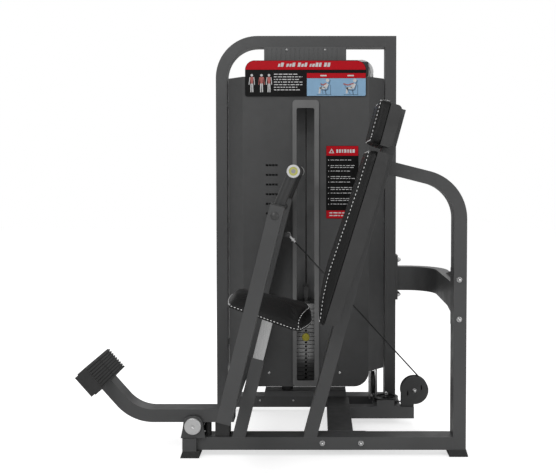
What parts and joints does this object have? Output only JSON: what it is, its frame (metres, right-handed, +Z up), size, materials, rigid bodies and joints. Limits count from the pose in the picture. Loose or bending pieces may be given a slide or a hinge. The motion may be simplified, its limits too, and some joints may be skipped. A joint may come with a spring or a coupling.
{
  "type": "chest press machine",
  "caption": "Seated chest press machine with a swinging press arm, foot lever, padded seat and back, and a cable-driven weight stack in a shrouded tower.",
  "frame": {"origin": "on the floor, in the middle of the footprint's bounding box", "axes": "+Z up, +X from the foot lever towards the rear upright (the user faces -X), +Y towards the weight tower"},
  "size_m": [1.4888, 1.1139, 1.7225],
  "materials": {
    "frame_paint": "satin powder coat",
    "dark_paint": "satin powder coat",
    "shroud_paint": "fine textured powder coat",
    "surround_plastic": "satin",
    "rubber": "matte",
    "leather": "grained with white stitching",
    "shell_plastic": "satin moulded",
    "bright_steel": "brushed",
    "chrome": "polished",
    "plate_iron": "painted black",
    "cap_aluminium": "turned",
    "yellow_plastic": "gloss",
    "black_plastic": "satin",
    "white_nylon": "satin",
    "cable_sheath": "gloss",
    "graphic_board": "gloss printed"
  },
  "bodies": {
    "frame": {"base_rail": "frame_paint", "rear_upright": "frame_paint", "back_post": "frame_paint", "seat_post_sleeve": "frame_paint", "pivot_bracket": "frame_paint", "lower_link": "frame_paint", "upper_brace": "frame_paint", "pulley_beam": "frame_paint", "tower_base": "frame_paint", "tower_hoop": "frame_paint", "tower_right_upright": "frame_paint", "rod_brackets": "dark_paint", "outer_pulley_housing": "dark_paint", "top_pulley_hangers": "dark_paint", "front_shroud": "shroud_paint", "rear_shroud": "shroud_paint", "window_surround": "surround_plastic", "rubber_feet": "rubber", "lever_stops": "rubber", "stack_bumpers": "rubber", "back_cushion": "leather", "head_cushion": "leather", "pad_shells": "shell_plastic", "lower_pulley_brackets": "bright_steel", "guide_rods": "chrome", "frame_fasteners": "chrome", "pulley_bolts": "chrome", "pivot_shaft": "chrome", "resting_plates": "plate_iron", "pivot_caps": "cap_aluminium", "cable_run": "cable_sheath", "cable_arm_span": "cable_sheath", "cable_stack_drop": "cable_sheath", "placard": "graphic_board", "label_panel": "graphic_board"},
    "press_arm": {"pivot_hub": "dark_paint", "foot_lever": "frame_paint", "foot_pads": "rubber", "arm_yoke": "frame_paint", "near_arm": "frame_paint", "far_arm": "frame_paint", "arm_plugs": "shell_plastic", "handle_bars": "dark_paint", "hand_grips": "rubber", "grip_caps": "cap_aluminium"},
    "cable_end": {"cable_eye": "bright_steel"},
    "lifted_stack": {"head_plate": "plate_iron", "lifted_plates": "plate_iron", "selector_stem": "chrome", "stack_clevis": "dark_paint"},
    "selector_pin": {"selector_pin": "bright_steel", "selector_knob": "yellow_plastic"},
    "seat": {"seat_slider": "bright_steel", "seat_cushion": "leather"},
    "seat_lock_pin": {"seat_locking_pin": "black_plastic"},
    "outer_pulley_wheel": {"outer_pulley": "black_plastic"},
    "turn_pulley_wheel": {"turn_pulley": "black_plastic"},
    "riser_pulley_wheel": {"riser_pulley": "black_plastic"},
    "top_pulley_wheel": {"top_pulley": "white_nylon"},
    "head_pulley_wheel": {"head_pulley": "black_plastic"}
  },
  "joints": [
    {"name": "press", "type": "hinge", "parent": "frame", "child": "press_arm", "pos_m": [-0.32396, -0.126, 0.125], "axis": [0, -1, 0], "range_deg": [0, 28], "deforming": ["cable_arm_span"]},
    {"name": "stack_lift", "type": "slide", "parent": "frame", "child": "lifted_stack", "axis": [0, 0, 1], "range_m": [0, 0.335], "deforming": ["cable_stack_drop"]},
    {"name": "selector_pull", "type": "slide", "parent": "lifted_stack", "child": "selector_pin", "axis": [0, -1, 0], "range_m": [0, 0.09]},
    {"name": "seat_height", "type": "slide", "parent": "frame", "child": "seat", "axis": [0.2402, 0, 0.9707], "range_m": [-0.125, 0.05]},
    {"name": "seat_lock", "type": "slide", "parent": "frame", "child": "seat_lock_pin", "axis": [0, 1, 0], "range_m": [0, 0.012], "stiffness_N_per_m": 500, "springref_m": -0.006},
    {"name": "eye_swivel", "type": "hinge", "parent": "press_arm", "child": "cable_end", "pos_m": [0.03004, 0.262, 0.8335], "axis": [0, -1, 0], "range_deg": [-18, 0]},
    {"name": "outer_pulley_spin", "type": "hinge", "parent": "frame", "child": "outer_pulley_wheel", "pos_m": [0.58404, 0.262, 0.149], "axis": [0, -1, 0], "continuous": true},
    {"name": "turn_pulley_spin", "type": "hinge", "parent": "frame", "child": "turn_pulley_wheel", "pos_m": [0.46304, 0.315, 0.096], "axis": [0, 0, 1], "continuous": true},
    {"name": "riser_pulley_spin", "type": "hinge", "parent": "frame", "child": "riser_pulley_wheel", "pos_m": [0.41004, 0.39, 0.149], "axis": [-1, 0, 0], "continuous": true},
    {"name": "top_pulley_spin", "type": "hinge", "parent": "frame", "child": "top_pulley_wheel", "pos_m": [0.35704, 0.443, 1.563], "axis": [0, 1, 0], "continuous": true},
    {"name": "head_pulley_spin", "type": "hinge", "parent": "frame", "child": "head_pulley_wheel", "pos_m": [0.13634, 0.443, 1.585], "axis": [0, 1, 0], "continuous": true}
  ],
  "couplings": [
    {"joint": "stack_lift", "follows": "press", "m_per_rad": 0.6835},
    {"joint": "eye_swivel", "follows": "press", "ratio": -0.6254},
    {"joint": "outer_pulley_spin", "follows": "press", "ratio": 12.896},
    {"joint": "turn_pulley_spin", "follows": "press", "ratio": 12.896},
    {"joint": "riser_pulley_spin", "follows": "press", "ratio": 12.896},
    {"joint": "top_pulley_spin", "follows": "press", "ratio": 12.896},
    {"joint": "head_pulley_spin", "follows": "press", "ratio": 22.048}
  ]
}
